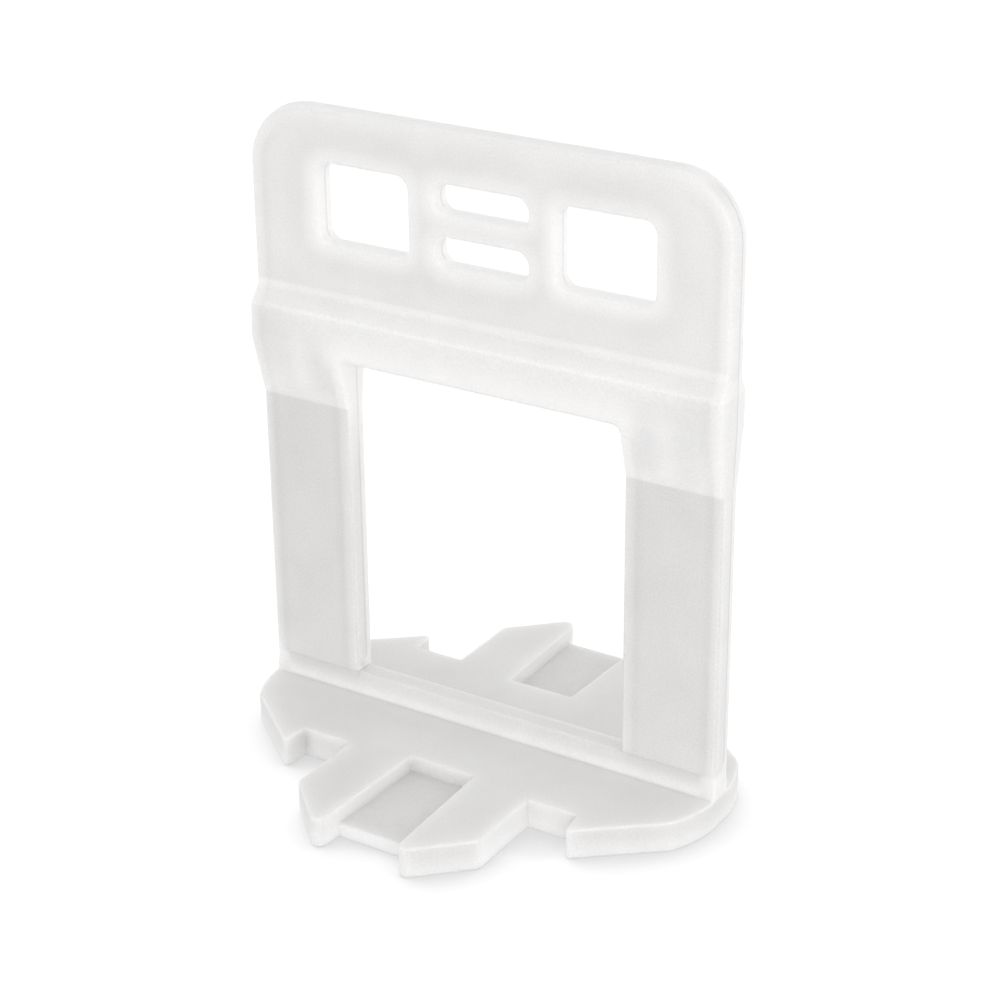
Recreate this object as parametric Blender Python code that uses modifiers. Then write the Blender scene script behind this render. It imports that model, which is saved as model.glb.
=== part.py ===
"""Tile levelling clip: a one-piece moulding in natural polypropylene.

The notched base lies under two neighbouring tiles. The thin upright stands in the joint between
them, and its width sets the joint. A wedge goes through the window over the tiles, bears up on
the crossbar and presses the tiles down. Afterwards the upright is knocked off at its feet.

X runs along the upright, Y across the joint, Z up. The origin is the middle of the underside.
"""
from math import acos, asin, ceil, cos, pi, radians, sin, tan

import bmesh
import bpy
from mathutils import Matrix, Vector

MM = 0.001

# Upright: the web that stands in the joint
JOINT_WIDTH = 2.0 * MM
LEG_SPAN = 40.3 * MM
WEDGE_WINDOW_WIDTH = 24.3 * MM
WEDGE_WINDOW_HEIGHT = 27.05 * MM
WEDGE_WINDOW_CORNER = 0.6 * MM
EDGE_ROUND = 0.25 * MM
PARTING_RIDGE = 0.2 * MM
FOOT_RUNOUT = 1.1 * MM

# Crossbar: the thick bar over the window, with ramps down to the legs and ledges under the head
CROSSBAR_HEIGHT = 3.4 * MM
CROSSBAR_SPAN = 40.6 * MM
FRONT_BULGE = 1.2 * MM
FRONT_LEAN = 0.15 * MM
BACK_BULGE = 0.65 * MM
RAMP_LENGTH = 4.9 * MM
RAMP_OVERLAP = 0.65 * MM
LEDGE_RISE = 1.15 * MM

# Head: the plate that the pliers and the hammer meet, with two windows and two slots
HEAD_WIDTH = 40.6 * MM
HEAD_HEIGHT = 14.5 * MM
HEAD_CORNER = 4.8 * MM
OPENING_RISE = 4.2 * MM
OPENING_HEIGHT = 6.4 * MM
WINDOW_WIDTH = 8.2 * MM
WINDOW_CENTRE = 10.3 * MM
SLOT_WIDTH = 8.15 * MM
SLOT_HEIGHT = 2.4 * MM
OPENING_CORNER = 1.1 * MM

# Base: the plate under the tiles, alike on both sides of the joint and at both ends
BASE_THICKNESS = 2.5 * MM
BASE_END_MARGIN = 0.05 * MM
BASE_END_RADIUS = 10.9 * MM
WING_SLOPE = radians(39)
WING_SHOULDER_ROUND = 3.0 * MM
WING_LENGTH = 7.55 * MM
WING_TIP_Y = 10.4 * MM
WING_TIP_ROUND = 0.3 * MM
NOTCH_RAKE = 0.25 * MM
NOTCH_BACK_Y = 8.0 * MM
FINGER_OUTER_X = 8.15 * MM
FINGER_SHOULDER_Y = 14.7 * MM
FINGER_SHOULDER_ROUND = 0.8 * MM
FINGER_CHAMFER = radians(44)
FINGER_TIP_ROUND = 0.8 * MM
BASE_EDGE_ROUND = 0.2 * MM

# Pocket between each pair of fingers: open at its mouth, with a thin floor that stops short of it
POCKET_BACK_Y = 7.25 * MM
POCKET_BACK_WIDTH = 5.7 * MM
POCKET_MOUTH_WIDTH = 6.4 * MM
POCKET_FLOOR = 1.25 * MM
POCKET_FLOOR_END_FRONT = 16.4 * MM
POCKET_FLOOR_END_BACK = 17.2 * MM

# Rib: the bar of tapered section along the middle of the base, which carries the legs
RIB_HEIGHT = 1.8 * MM
RIB_FOOT_WIDTH = 2.4 * MM
RIB_TOP_WIDTH = 1.65 * MM

FACET = radians(11.25)
ROUND_SEGMENTS = 2
TIP_SEGMENTS = 6
LONGEST_REACH = 0.45
SHARP_EDGE = radians(28)
SMOOTH_UNDER = radians(50)
CUT_ALLOWANCE = 5 * MM
WELD = 1e-7

# Heights, stacked up from the underside
rib_top = BASE_THICKNESS + RIB_HEIGHT
window_top = rib_top + WEDGE_WINDOW_HEIGHT
bulge_top = window_top + CROSSBAR_HEIGHT
bulge_foot = window_top + RAMP_OVERLAP
ramp_foot = bulge_foot - RAMP_LENGTH
head_foot = bulge_top + LEDGE_RISE
head_top = head_foot + HEAD_HEIGHT
face = JOINT_WIDTH / 2

for item in list(bpy.data.objects):
    bpy.data.objects.remove(item, do_unlink=True)


def collection(name):
    """A new collection in the scene."""
    made = bpy.data.collections.new(name)
    bpy.context.scene.collection.children.link(made)
    return made


parts = collection("tile_levelling_clip")
cutters = collection("cutters")


def rounded(corners):
    """Outline through (u, v, radius) corners, each rounded by an arc that touches both its sides."""
    outline = []
    for i, (u, v, radius) in enumerate(corners):
        corner = Vector((u, v))
        if radius == 0:
            outline.append(corner)
            continue
        to_last = Vector(corners[i - 1][:2]) - corner
        to_next = Vector(corners[(i + 1) % len(corners)][:2]) - corner
        half = to_last.angle(to_next) / 2
        shorter_side = min(to_last.length, to_next.length)
        reach = min(radius / tan(half), LONGEST_REACH * shorter_side)
        first = corner + to_last.normalized() * reach
        last = corner + to_next.normalized() * reach
        centre = corner + (to_last.normalized() + to_next.normalized()).normalized() * reach / cos(half)
        turn = (first - centre).angle_signed(last - centre)
        steps = max(2, ceil(abs(turn) / FACET))
        for step in range(steps + 1):
            outline.append(centre + Matrix.Rotation(-turn * step / steps, 2) @ (first - centre))
    return outline


def box_outline(left, right, bottom, top, radius=0.0):
    """A rectangle, with its four corners rounded alike."""
    corners = [(left, bottom), (right, bottom), (right, top), (left, top)]
    return rounded([(u, v, radius) for u, v in corners])


ALONG_X = Matrix(((0, 0, 1), (1, 0, 0), (0, 1, 0)))
ALONG_Y = Matrix(((1, 0, 0), (0, 0, -1), (0, 1, 0)))
ALONG_Z = Matrix.Identity(3)


def prism(name, outlines, axis, low, high):
    """A solid of flat outline, the first one outside and the others holes in it, drawn out along an axis."""
    curve = bpy.data.curves.new(name, "CURVE")
    curve.dimensions = "2D"
    curve.fill_mode = "BOTH"
    curve.extrude = (high - low) / 2
    for outline in outlines:
        spline = curve.splines.new("POLY")
        spline.points.add(len(outline) - 1)
        for point, (u, v) in zip(spline.points, outline):
            point.co = (u, v, 0, 1)
        spline.use_cyclic_u = True
    drawn = bpy.data.objects.new(name, curve)
    cutters.objects.link(drawn)
    drawn.matrix_world = Matrix.Translation(axis @ Vector((0, 0, (low + high) / 2))) @ axis.to_4x4()
    return as_mesh(drawn)


def as_mesh(source):
    """Replaces an object by the mesh that its curve or its modifiers make, welded, with no transform."""
    bpy.context.view_layer.update()
    mesh = bpy.data.meshes.new_from_object(source.evaluated_get(bpy.context.evaluated_depsgraph_get()))
    mesh.transform(source.matrix_world)
    edit = bmesh.new()
    edit.from_mesh(mesh)
    bmesh.ops.remove_doubles(edit, verts=edit.verts, dist=WELD)
    bmesh.ops.recalc_face_normals(edit, faces=edit.faces)
    edit.to_mesh(mesh)
    edit.free()
    made = bpy.data.objects.new(source.name, mesh)
    cutters.objects.link(made)
    made.hide_render = True
    made.display_type = "WIRE"
    bpy.data.objects.remove(source, do_unlink=True)
    return made


def combine(target, operation, other):
    """Boolean of two solids, applied; the second is used up."""
    boolean = target.modifiers.new(operation, "BOOLEAN")
    boolean.operation = operation
    boolean.solver = "EXACT"
    boolean.object = other
    made = as_mesh(target)
    bpy.data.objects.remove(other, do_unlink=True)
    return made


def rounded_edges(target, width):
    """Rounds every sharp edge of a solid by the same small radius."""
    bevel = target.modifiers.new("edge_round", "BEVEL")
    bevel.width = width
    bevel.segments = ROUND_SEGMENTS
    bevel.limit_method = "ANGLE"
    bevel.angle_limit = SHARP_EDGE
    bevel.use_clamp_overlap = False
    return as_mesh(target)


def base_outline():
    """Plan of the base: ends flat across the rib and curved on to the wings, then two pairs of fingers."""
    flat = RIB_FOOT_WIDTH / 2 + 2 * BASE_EDGE_ROUND
    start = asin(flat / BASE_END_RADIUS)
    end_x = LEG_SPAN / 2 + BASE_END_MARGIN
    centre_x = end_x - BASE_END_RADIUS * cos(start)
    wing_tip_x = end_x - WING_LENGTH
    square_to_wing = pi / 2 - WING_SLOPE
    wing_edge = (wing_tip_x - centre_x) * cos(square_to_wing) + WING_TIP_Y * sin(square_to_wing)
    sweep = square_to_wing - acos(min(wing_edge / BASE_END_RADIUS, 1))
    steps = ceil((sweep - start) / (FACET / 2))
    end = []
    for step in range(steps + 1):
        angle = start + (sweep - start) * step / steps
        shoulder = WING_SHOULDER_ROUND if step == steps else 0
        end.append((centre_x + BASE_END_RADIUS * cos(angle), BASE_END_RADIUS * sin(angle), shoulder))
    end = [(x, -y, r) for x, y, r in reversed(end)] + end
    tip_x = POCKET_MOUTH_WIDTH / 4
    tip_y = FINGER_SHOULDER_Y + (FINGER_OUTER_X - tip_x) * tan(FINGER_CHAMFER)
    side = [
        (wing_tip_x, WING_TIP_Y, WING_TIP_ROUND),
        (wing_tip_x - NOTCH_RAKE, NOTCH_BACK_Y, 0),
        (FINGER_OUTER_X, NOTCH_BACK_Y, 0),
        (FINGER_OUTER_X, FINGER_SHOULDER_Y, FINGER_SHOULDER_ROUND),
        (tip_x, tip_y, 0),
    ]
    corners = list(end)
    corners += side
    corners += [(-x, y, r) for x, y, r in reversed(side)]
    corners += [(-x, -y, r) for x, y, r in end]
    corners += [(-x, -y, r) for x, y, r in side]
    corners += [(x, -y, r) for x, y, r in reversed(side)]
    return rounded(corners)


def pocket(side, floor_end):
    """Cutter of one pocket: flared in plan, down to the floor, and right through beyond the floor's end."""
    far = FINGER_SHOULDER_Y + FINGER_OUTER_X * tan(FINGER_CHAMFER) + CUT_ALLOWANCE
    flare = (POCKET_MOUTH_WIDTH - POCKET_BACK_WIDTH) / 2 / (POCKET_FLOOR_END_FRONT - POCKET_BACK_Y)
    back = POCKET_BACK_WIDTH / 2
    front = back + flare * (far - POCKET_BACK_Y)
    inner_y = side * POCKET_BACK_Y
    outer_y = side * far
    plan = [(-back, inner_y), (back, inner_y), (front, outer_y), (-front, outer_y)]
    top = BASE_THICKNESS + CUT_ALLOWANCE
    section = [
        (side * (POCKET_BACK_Y - CUT_ALLOWANCE), POCKET_FLOOR), (side * floor_end, POCKET_FLOOR),
        (side * floor_end, -2 * CUT_ALLOWANCE), (side * (far + CUT_ALLOWANCE), -2 * CUT_ALLOWANCE),
        (side * (far + CUT_ALLOWANCE), top + CUT_ALLOWANCE),
        (side * (POCKET_BACK_Y - CUT_ALLOWANCE), top + CUT_ALLOWANCE),
    ]
    cutter = prism("pocket", [plan], ALONG_Z, -CUT_ALLOWANCE, top)
    return combine(cutter, "INTERSECT", prism("pocket_section", [section], ALONG_X, -2 * front, 2 * front))


def round_finger_tips(target):
    """Rounds the upright edge at the tip of each finger, where the chamfer meets the pocket's side."""
    edit = bmesh.new()
    edit.from_mesh(target.data)
    tips = []
    for edge in edit.edges:
        one, two = (v.co for v in edge.verts)
        upright = abs(one.x - two.x) < WELD and abs(one.y - two.y) < WELD
        if upright and abs(one.y) > max(POCKET_FLOOR_END_FRONT, POCKET_FLOOR_END_BACK) + WELD:
            tips.append(edge)
    reach = FINGER_TIP_ROUND / tan((pi / 2 - FINGER_CHAMFER) / 2)
    bmesh.ops.bevel(edit, geom=tips, offset=reach, offset_type="OFFSET", segments=TIP_SEGMENTS, profile=0.5,
                    affect="EDGES", clamp_overlap=False)
    edit.to_mesh(target.data)
    edit.free()


def make_base():
    """The plate and its rib are one section, cut to the plan, with the pockets sunk in."""
    reach = 2 * FINGER_SHOULDER_Y
    foot = RIB_FOOT_WIDTH / 2
    crest = RIB_TOP_WIDTH / 2
    section = [
        (-reach, 0), (reach, 0), (reach, BASE_THICKNESS), (foot, BASE_THICKNESS), (crest, rib_top),
        (-crest, rib_top), (-foot, BASE_THICKNESS), (-reach, BASE_THICKNESS),
    ]
    base = prism("base", [section], ALONG_X, -LEG_SPAN, LEG_SPAN)
    plan = prism("base_plan", [base_outline()], ALONG_Z, -CUT_ALLOWANCE, rib_top + CUT_ALLOWANCE)
    base = combine(base, "INTERSECT", plan)
    for side, floor_end in ((-1, POCKET_FLOOR_END_FRONT), (1, POCKET_FLOOR_END_BACK)):
        base = combine(base, "DIFFERENCE", pocket(side, floor_end))
    round_finger_tips(base)
    return rounded_edges(base, BASE_EDGE_ROUND)


def upright_section():
    """Section of the upright across the joint: web, ramps, crossbar, ledges and head."""
    foot = BASE_THICKNESS / 2
    above = head_top + CUT_ALLOWANCE
    back = face + BACK_BULGE
    front = -face - FRONT_BULGE
    return [
        (-face, foot), (face, foot), (face, ramp_foot), (back, bulge_foot), (back, bulge_top),
        (face, head_foot), (face, above), (-face, above), (-face, head_foot),
        (front + FRONT_LEAN, bulge_top), (front, bulge_foot), (-face, ramp_foot),
    ]


def upright_outlines():
    """Front view of the upright, and the openings in it."""
    leg = LEG_SPAN / 2
    bar = CROSSBAR_SPAN / 2
    head = HEAD_WIDTH / 2
    gap = WEDGE_WINDOW_WIDTH / 2
    right = [
        (gap, 0, 0), (leg, 0, 0), (leg, ramp_foot, 0), (bar, bulge_foot, 0), (bar, bulge_top, 0),
        (head, head_foot, 0), (head, head_top, HEAD_CORNER),
    ]
    left = [(-x, z, r) for x, z, r in reversed(right)]
    window_corners = [(-gap, window_top, WEDGE_WINDOW_CORNER), (gap, window_top, WEDGE_WINDOW_CORNER)]
    frame = rounded(right + left + window_corners)
    low = head_foot + OPENING_RISE
    high = low + OPENING_HEIGHT
    window = WINDOW_WIDTH / 2
    slot = SLOT_WIDTH / 2
    openings = [
        box_outline(side * WINDOW_CENTRE - window, side * WINDOW_CENTRE + window, low, high, OPENING_CORNER)
        for side in (-1, 1)
    ]
    openings.append(box_outline(-slot, slot, low, low + SLOT_HEIGHT, OPENING_CORNER))
    openings.append(box_outline(-slot, slot, high - SLOT_HEIGHT, high, OPENING_CORNER))
    return [frame] + openings


def raise_parting_ridge(target):
    """Pushes the middle of every edge wall out to a low ridge, where the halves of the mould meet.

    The ridge runs out just above the feet.
    """
    edit = bmesh.new()
    edit.from_mesh(target.data)
    run_out = rib_top + FOOT_RUNOUT
    ridge_end = rib_top + FOOT_RUNOUT / 2
    across = Vector((0, 1, 0))
    upward = Vector((0, 0, 1))
    for point, normal in ((0 * upward, across), (run_out * upward, upward), (ridge_end * upward, upward)):
        everything = list(edit.verts) + list(edit.edges) + list(edit.faces)
        bmesh.ops.bisect_plane(edit, geom=everything, dist=WELD, plane_co=point, plane_no=normal)
    edit.normal_update()
    pushed = []
    for vert in edit.verts:
        if abs(vert.co.y) < WELD and vert.co.z > run_out - WELD:
            pushed.append((vert, vert.normal * vert.calc_shell_factor() * PARTING_RIDGE))
    for vert, step in pushed:
        vert.co += step
    edit.to_mesh(target.data)
    edit.free()


def make_upright():
    """The section across the joint, cut to the front view, with its ridge and its rounded edges."""
    upright = prism("upright", [upright_section()], ALONG_X, -LEG_SPAN, LEG_SPAN)
    reach = face + FRONT_BULGE + BACK_BULGE + CUT_ALLOWANCE
    front_view = prism("upright_front", upright_outlines(), ALONG_Y, -reach, reach)
    upright = combine(upright, "INTERSECT", front_view)
    raise_parting_ridge(upright)
    return rounded_edges(upright, EDGE_ROUND)


def natural_polypropylene():
    """Milky white plastic, slightly waxy."""
    material = bpy.data.materials.new("natural_polypropylene")
    material.use_nodes = True
    shader = material.node_tree.nodes["Principled BSDF"]
    shader.inputs["Base Color"].default_value = (0.80, 0.80, 0.79, 1.0)
    shader.inputs["Roughness"].default_value = 0.42
    shader.inputs["Metallic"].default_value = 0.0
    return material


clip = combine(make_base(), "UNION", make_upright())
clip.name = "levelling_clip"
clip.hide_render = False
clip.display_type = "TEXTURED"
cutters.objects.unlink(clip)
parts.objects.link(clip)
clip.data.shade_smooth()
clip.data.set_sharp_from_angle(angle=SMOOTH_UNDER)
clip.data.materials.append(natural_polypropylene())
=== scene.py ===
"""Tile levelling clip in natural polypropylene, standing on a white table under soft studio light."""

import math

import bmesh
import bpy
from mathutils import Euler, Matrix, Vector


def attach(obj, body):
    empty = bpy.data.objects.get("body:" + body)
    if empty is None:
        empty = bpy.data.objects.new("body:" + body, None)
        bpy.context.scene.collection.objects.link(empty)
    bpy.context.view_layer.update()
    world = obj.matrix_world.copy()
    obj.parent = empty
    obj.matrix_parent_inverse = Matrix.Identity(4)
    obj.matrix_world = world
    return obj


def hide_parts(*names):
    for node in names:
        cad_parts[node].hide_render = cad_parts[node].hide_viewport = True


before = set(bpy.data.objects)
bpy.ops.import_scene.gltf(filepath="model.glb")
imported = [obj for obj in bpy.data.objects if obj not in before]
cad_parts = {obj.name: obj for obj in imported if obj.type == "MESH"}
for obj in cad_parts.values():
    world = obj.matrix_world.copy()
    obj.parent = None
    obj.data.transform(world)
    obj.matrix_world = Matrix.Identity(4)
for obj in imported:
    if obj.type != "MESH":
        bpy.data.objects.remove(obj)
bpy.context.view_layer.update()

# The moulding is one shot of natural polypropylene: the notched base with its rib, the two legs, the
# crossbar and the pierced head leave the mould together. Its edges come out slightly round, and a
# fine ridge runs round the upright where the halves of the mould met.
MM = 0.001


class Tree:
    """A node tree. A node's settings are made first, then its inputs take values or links."""

    def __init__(self, tree):
        self.tree = tree

    def node(self, kind, settings=None, inputs=None):
        made = self.tree.nodes.new(kind)
        for name, value in (settings or {}).items():
            setattr(made, name, value)
        for key, value in (inputs or {}).items():
            if isinstance(value, Number):
                value = value.socket
            if isinstance(value, bpy.types.NodeSocket):
                self.tree.links.new(value, made.inputs[key])
            else:
                made.inputs[key].default_value = value
        return made

    def number(self, kind, settings=None, inputs=None, output=0):
        return Number(self, self.node(kind, settings, inputs).outputs[output])

    def split(self, vector):
        """The vector's x, y and z, one by one."""
        axes = self.node("ShaderNodeSeparateXYZ", {}, {"Vector": vector}).outputs
        return [Number(self, axis) for axis in axes]

    def colour(self, red, green, blue):
        return self.node("ShaderNodeCombineColor", {}, {"Red": red, "Green": green, "Blue": blue}).outputs[0]


class Number:
    """A number inside a node tree. A sum that is written with it adds the Math nodes it needs."""

    def __init__(self, tree, socket):
        self.tree = tree
        self.socket = socket

    def math(self, operation, *values):
        inputs = dict(enumerate(values))
        return self.tree.number("ShaderNodeMath", {"operation": operation}, inputs)

    def __add__(self, other):
        return self.math("ADD", self, other)

    def __sub__(self, other):
        return self.math("SUBTRACT", self, other)

    def __rsub__(self, other):
        return self.math("SUBTRACT", other, self)

    def __mul__(self, other):
        return self.math("MULTIPLY", self, other)

    def __truediv__(self, other):
        return self.math("DIVIDE", self, other)

    def __abs__(self):
        return self.math("ABSOLUTE", self)

    __radd__ = __add__
    __rmul__ = __mul__

    def low(self, other):
        return self.math("MINIMUM", self, other)

    def high(self, other):
        return self.math("MAXIMUM", self, other)

    def rise(self, low, high):
        """0 below low, 1 above high and a smooth step between them."""
        settings = {"interpolation_type": "SMOOTHSTEP"}
        inputs = {"Value": self, "From Min": low, "From Max": high}
        return self.tree.number("ShaderNodeMapRange", settings, inputs)

    def fall(self, low, high):
        """1 below low, 0 above high and a smooth step between them."""
        return 1 - self.rise(low, high)

    def near(self, middle, full, gone):
        """1 where it is closer than full to middle, and 0 where it is farther than gone."""
        return abs(self - middle).fall(full, gone)


def from_box(x, z, width, height, corner):
    """Distance outward from a round-cornered box about the origin, in the front view: 0 on its outline."""
    beside = abs(x) - (width / 2 - corner)
    above = abs(z) - (height / 2 - corner)
    past = beside.high(0.0) * beside.high(0.0) + above.high(0.0) * above.high(0.0)
    return past.math("SQRT", past) + beside.high(above).low(0.0) - corner


def natural_polypropylene():
    """Milky plastic that scatters light inside, with light and shade painted into its colour: whitest over
    the wedge window, greyer in the thin legs.
    """
    material = bpy.data.materials.new("natural_polypropylene")
    material.use_nodes = True
    material.node_tree.nodes.clear()
    tree = Tree(material.node_tree)
    coordinates = tree.node("ShaderNodeTexCoord").outputs
    place = coordinates["Object"]
    x, y, z = (distance / MM for distance in tree.split(place))
    normal_x, normal_y, normal_z = tree.split(coordinates["Normal"])

    def noise(scale, detail, roughness):
        inputs = {"Vector": place, "Scale": scale, "Detail": detail, "Roughness": roughness}
        return tree.number("ShaderNodeTexNoise", {}, inputs)

    cloud = noise(scale=260.0, detail=3.0, roughness=0.55)
    speck = noise(scale=6000.0, detail=2.0, roughness=0.7)

    # Heights on the clip, and distances from its openings and outline, all in millimetres
    floor_top, plate_top, rib_top = 1.25, 2.5, 4.3
    ramp_foot, bar_top, head_foot, head_top = 27.1, 34.75, 35.9, 50.4
    wedge_window = from_box(x, z - 17.8, width=24.3, height=27.1, corner=0.6)
    head_window = from_box(abs(x) - 10.3, z - 43.3, width=8.2, height=6.4, corner=1.1)
    slot = from_box(x, abs(z - 43.3) - 2.0, width=8.15, height=2.4, corner=1.1)
    head_opening = head_window.low(slot)
    outline = from_box(x, z, width=40.6, height=2 * head_top, corner=4.8)
    below_window_top = 5 * z.rise(30.4, 31.2)
    side_edge = (wedge_window + below_window_top).low(0 - outline)

    # Which way the surface faces
    faces_side = abs(normal_x).rise(0.3, 0.7)
    faces_across = abs(normal_y).rise(0.5, 0.9)
    faces_up = abs(normal_z).rise(0.6, 0.9)
    web_face = faces_across * z.rise(rib_top - 0.3, rib_top + 0.3)
    web_wall = faces_side * z.rise(rib_top - 0.1, rib_top + 0.5)

    # The tone is the plastic's brightness, with light and shade painted into it. The legs are grey up to the
    # ramps with painted shade, and so are their walls
    plain = 0.80
    leg = web_face * z.fall(ramp_foot - 0.1, ramp_foot + 0.15)
    leg = leg * (0.65 + 0.35 * z.rise(rib_top + 0.2, rib_top + 4.2))
    window_wall = web_wall * wedge_window.fall(0.5, 2.0)
    front_half = y.fall(-0.06, 0.04)
    # Painted shade darkens the side walls below the ramps, their front halves most; painted light lightens
    # the window's walls by the ramps
    wall = web_wall - 0.5 * (web_wall + window_wall) * z.rise(ramp_foot - 6.1, ramp_foot + 0.9)
    ramp_wall = window_wall * z.rise(ramp_foot - 4.1, ramp_foot + 0.9)
    ramp_wall = ramp_wall * z.fall(bar_top - 0.75, bar_top + 3.25)
    # Painted shade: a soft dark line just inside the web's edges
    inner_edge_shade = side_edge.rise(0.70, 1.05) * side_edge.fall(1.05, 1.9) * z.fall(47.0, 49.5) * web_face
    tone = plain - 0.09 * leg - (0.04 + 0.04 * front_half) * wall + 0.02 * ramp_wall - 0.03 * inner_edge_shade

    # The crossbar is whitest over the wedge window with painted light, darker at its ends with painted
    # shade, and has a painted light and a painted dark streak over each leg
    bar = z.rise(ramp_foot + 0.1, ramp_foot + 4.9) * z.fall(bar_top - 0.15, head_foot + 0.1)
    lit_bar = bar * wedge_window.fall(0.2, 3.4)
    bar_end_shade = bar * abs(x).rise(12.0, 20.0) * faces_across
    streak_light_and_shade = 0.03 * abs(x).near(16.0, 0.0, 1.2) - 0.045 * abs(x).near(13.9, 0.1, 1.5)
    streak_light_and_shade = streak_light_and_shade * z.rise(27.4, 29.0) * z.fall(31.0, 34.0) * faces_across
    tone = tone + 0.02 * bar + 0.06 * lit_bar - 0.05 * bar_end_shade + streak_light_and_shade

    # The ledge over the crossbar is painted lighter, with a rough painted highlight along both its edges
    ledge = z.rise(bar_top - 0.25, bar_top + 0.15) * z.fall(head_foot - 0.1, head_foot + 0.2)
    lower_edge_highlight = z.near(bar_top, 0.04, 0.20) * speck.rise(0.30, 0.60)
    upper_edge_highlight = z.near(head_foot + 0.3, 0.10, 0.50) * (1.2 + speck.rise(0.0, 0.6))
    ledge_edge_highlight = lower_edge_highlight.high(upper_edge_highlight) * (1 - faces_side)
    tone = tone + 0.03 * ledge + 0.03 * ledge_edge_highlight

    # The head is painted a little darker, with a painted light halo and a painted ring of shade round each
    # opening, and painted light on its walls
    head = z.rise(head_foot - 0.3, head_foot + 0.3) * faces_across
    opening_halo_light = head_opening.fall(0.0, 1.4) * web_face
    opening_ring_shade = head_opening.rise(0.8, 1.6) * head_opening.fall(1.6, 3.4) * web_face
    opening_wall = head_opening.fall(0.05, 0.30) * (1 - faces_across)
    opening_wall = opening_wall * z.rise(head_foot + 0.1, head_foot + 1.1)
    top_wall = faces_up * z.rise(head_top - 1.4, head_top - 0.2)
    tone = tone - 0.02 * head + 0.03 * opening_halo_light - 0.02 * opening_ring_shade + 0.08 * opening_wall + 0.05 * top_wall

    # The parting line is a thin dark line that comes and goes
    parting = abs(y).fall(0.05, 0.15) * z.rise(rib_top + 0.9, rib_top + 1.3) * (1 - faces_up)
    tone = tone - 0.10 * parting * cloud.rise(0.25, 0.50)

    # The rib's slopes carry painted light at the foot and painted shade higher up, and its crest painted
    # light; a fine painted dark line of shade parts them from the plate, which is painted lighter beside the
    # rib
    below_crest = z.fall(rib_top + 0.05, rib_top + 0.2)
    slope = z.rise(plate_top, plate_top + 0.2) * below_crest * abs(x).fall(18.6, 19.4)
    crest = faces_up * z.rise(rib_top - 0.4, rib_top - 0.1) * below_crest
    plate = faces_up * z.near(plate_top, 0.05, 0.15)
    beside_rib = 0.02 * abs(y).fall(1.4, 3.2) - 0.05 * abs(y).near(1.27, 0.03, 0.10)
    tone = tone + (0.08 - 0.17 * z.rise(plate_top + 0.1, rib_top - 0.1)) * slope + 0.03 * crest
    tone = tone + beside_rib * plate

    # The base's walls carry painted light at their foot and in the notches and painted shade near their top,
    # and the pockets' floors carry painted shade
    notch = abs(x).fall(11.5, 12.5) * abs(y).fall(14.2, 15.0)
    notch = notch.high(abs(x).fall(3.2, 3.4))
    base_wall = (1 - abs(normal_z)) * z.fall(plate_top - 0.2, plate_top)
    pocket_floor = faces_up * z.near(floor_top, 0.10, 0.30)
    tone = tone + (0.09 * notch + 0.12 * z.fall(0.0, 2.2) - 0.09) * base_wall - 0.04 * pocket_floor

    # Soft clouds and fine specks all over
    tone = tone + 0.08 * (cloud - 0.5) + (0.17 + 0.03 * leg) * (speck - 0.5)
    warmth = (1.0, 0.992, 0.988)
    colour = tree.colour(*(share * tone for share in warmth))

    # The mould's fine spark-eroded grain, and light that goes a few millimetres deep
    grain = noise(scale=5200.0, detail=2.0, roughness=0.6)
    inputs = {"Strength": 0.35, "Distance": 0.02 * MM, "Height": grain + cloud}
    bump = tree.node("ShaderNodeBump", {}, inputs).outputs[0]
    shader = tree.node("ShaderNodeBsdfPrincipled", {"subsurface_method": "RANDOM_WALK"}, {
        "Base Color": colour, "Roughness": 0.40 + 0.10 * leg + 0.08 * (cloud - 0.5), "IOR": 1.49,
        "Subsurface Weight": 1.0, "Subsurface Radius": (1.0, 0.98, 0.95), "Subsurface Scale": 1.8 * MM,
        "Normal": bump,
    }).outputs[0]
    tree.node("ShaderNodeOutputMaterial", {}, {"Surface": shader})
    return material


def merged_copy(node, name):
    """The CAD node's triangles as one welded mesh, with its flat faces whole again."""
    same_point, flat_enough = 1e-6, math.radians(0.4)
    edit = bmesh.new()
    edit.from_mesh(node.data)
    bmesh.ops.remove_doubles(edit, verts=edit.verts, dist=same_point)
    bmesh.ops.dissolve_limit(edit, angle_limit=flat_enough, verts=edit.verts, edges=edit.edges)
    mesh = bpy.data.meshes.new(name)
    edit.to_mesh(mesh)
    edit.free()
    made = bpy.data.objects.new(name, mesh)
    bpy.context.scene.collection.objects.link(made)
    return made


def finished(piece):
    """The piece as its modifiers leave it, in a plain mesh, with the modifiers gone."""
    bpy.context.view_layer.update()
    whole = bpy.context.evaluated_depsgraph_get()
    result = piece.evaluated_get(whole)
    mesh = bpy.data.meshes.new_from_object(result, preserve_all_data_layers=True, depsgraph=whole)
    piece.modifiers.clear()
    piece.data = mesh
    return piece


clip = merged_copy(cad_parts["levelling_clip"], "levelling_clip_moulding")
clip.data.shade_smooth()
sharp_edge = math.radians(50)
clip.data.set_sharp_from_angle(angle=sharp_edge)
normals = clip.modifiers.new("flat faces stay flat", "WEIGHTED_NORMAL")
normals.mode = "FACE_AREA"
normals.weight = 100
normals.keep_sharp = True
finished(clip)
clip.data.materials.clear()
clip.data.materials.append(natural_polypropylene())
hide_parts("levelling_clip")
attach(clip, "root")

# The table is plain white paper that the clip stands on, loose. The camera sees it as white, and it
# keeps the shadow that the clip casts close to its foot.


def looked_at(tree):
    """1 where the camera sees the surface, also by reflection or through a clear piece."""
    rays = tree.node("ShaderNodeLightPath").outputs
    kinds = ("Is Camera Ray", "Is Glossy Ray", "Is Transmission Ray")
    camera, glossy, through = (Number(tree, rays[kind]) for kind in kinds)
    return camera.high(glossy).high(through)


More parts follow.
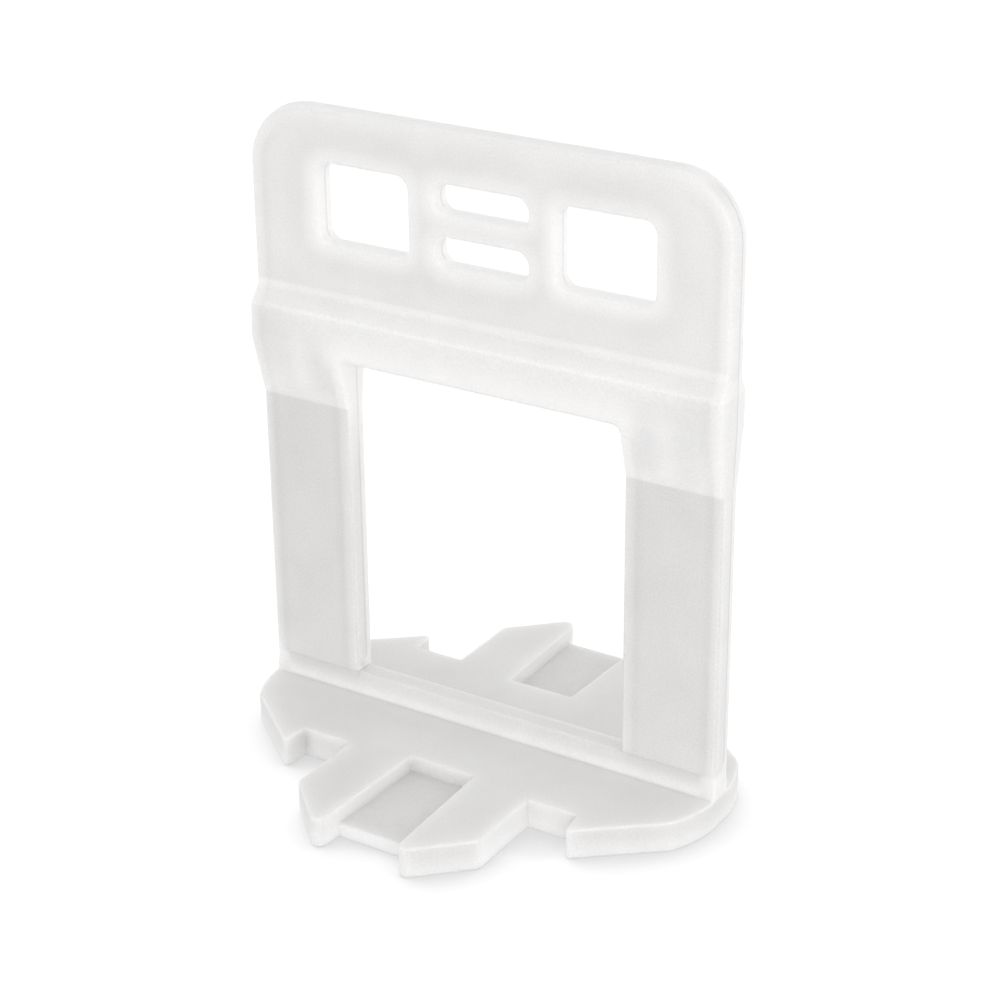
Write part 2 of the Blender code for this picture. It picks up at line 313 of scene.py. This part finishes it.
def white_paper():
    material = bpy.data.materials.new("white_paper")
    material.use_nodes = True
    material.node_tree.nodes.clear()
    tree = Tree(material.node_tree)

    # What lights the clip from below
    paper = tree.node("ShaderNodeBsdfDiffuse", {}, {"Color": (0.4, 0.4, 0.4, 1)}).outputs[0]
    lightbox = tree.node("ShaderNodeEmission", {}, {"Color": (1, 1, 1, 1), "Strength": 0.42}).outputs[0]
    lighting = tree.node("ShaderNodeAddShader", {}, {0: paper, 1: lightbox}).outputs[0]

    # What the camera sees: white, with a soft shadow that leans to the front and right
    lean = tree.node("ShaderNodeCombineXYZ", {}, {"X": -0.36, "Y": 0.42, "Z": 0.83}).outputs[0]
    inputs = {"Distance": 4.0 * MM, "Normal": lean}
    open_sky = tree.number("ShaderNodeAmbientOcclusion", {"samples": 8}, inputs, "AO")
    shadow = (1 - open_sky).rise(0.13, 0.80)
    lit = 1 - 0.30 * shadow
    white = 0.35 * lit
    sheet = tree.node("ShaderNodeBsdfDiffuse", {}, {"Color": tree.colour(white, white, white)}).outputs[0]
    inputs = {"Color": tree.colour(lit, lit, lit), "Strength": 0.74}
    glow = tree.node("ShaderNodeEmission", {}, inputs).outputs[0]
    seen = tree.node("ShaderNodeAddShader", {}, {0: sheet, 1: glow}).outputs[0]

    surface = tree.node("ShaderNodeMixShader", {}, {0: looked_at(tree), 1: lighting, 2: seen}).outputs[0]
    tree.node("ShaderNodeOutputMaterial", {}, {"Surface": surface})
    return material


reach = 3.0
table_corners = [(-reach, -reach, 0), (reach, -reach, 0), (reach, reach, 0), (-reach, reach, 0)]
table_mesh = bpy.data.meshes.new("table")
table_mesh.from_pydata(table_corners, [], [(0, 1, 2, 3)])
table = bpy.data.objects.new("table", table_mesh)
bpy.context.scene.collection.objects.link(table)
table.data.materials.append(white_paper())

# The light comes from a white tent all round, brightest along its foot and to the right, and from one
# softbox that stands in front of the clip, to the right of the camera.
world = bpy.data.worlds.new("white_tent")
bpy.context.scene.world = world
world.use_nodes = True
world.node_tree.nodes.clear()
sky = Tree(world.node_tree)
seen = looked_at(sky)
across, _, upward = sky.split(sky.node("ShaderNodeTexCoord").outputs["Generated"])
tent = 0.44 + 1.20 * (1 - upward.high(0.0)) * (1 + 0.12 * across)
strength = tent + (1 - tent) * seen
light = sky.node("ShaderNodeBackground", {}, {"Color": (1, 1, 1, 1), "Strength": strength}).outputs[0]
sky.node("ShaderNodeOutputWorld", {}, {"Surface": light})

lamp = bpy.data.lights.new("softbox_right", "AREA")
lamp.shape = "RECTANGLE"
lamp.size, lamp.size_y = 0.08, 0.08
lamp.energy = 0.031
softbox = bpy.data.objects.new("softbox_right", lamp)
bpy.context.scene.collection.objects.link(softbox)
softbox.visible_camera = False
stand, aim = Vector((0.11, -0.11, 0.035)), Vector((0, 0, 0.02))
toward_aim = (stand - aim).to_track_quat("Z", "Y").to_matrix()
softbox.matrix_world = Matrix.Translation(stand) @ toward_aim.to_4x4()

# The camera looks at the clip from the front right and from above. Its place, its three angles and
# its lens were fitted to the photograph.
lens = bpy.data.cameras.new("camera")
lens.lens = 88.17
lens.sensor_width = 36.0
lens.clip_start = 0.01
lens.clip_end = 20.0
camera = bpy.data.objects.new("camera", lens)
bpy.context.scene.collection.objects.link(camera)
viewpoint = Vector((0.090630, -0.141642, 0.098481))
tilt, roll, azimuth = (math.radians(angle) for angle in (65.541, 0.506, 32.124))
camera.matrix_world = Matrix.LocRotScale(viewpoint, Euler((tilt, roll, azimuth)), None)
bpy.context.scene.camera = camera
bpy.context.scene.view_settings.view_transform = "Standard"
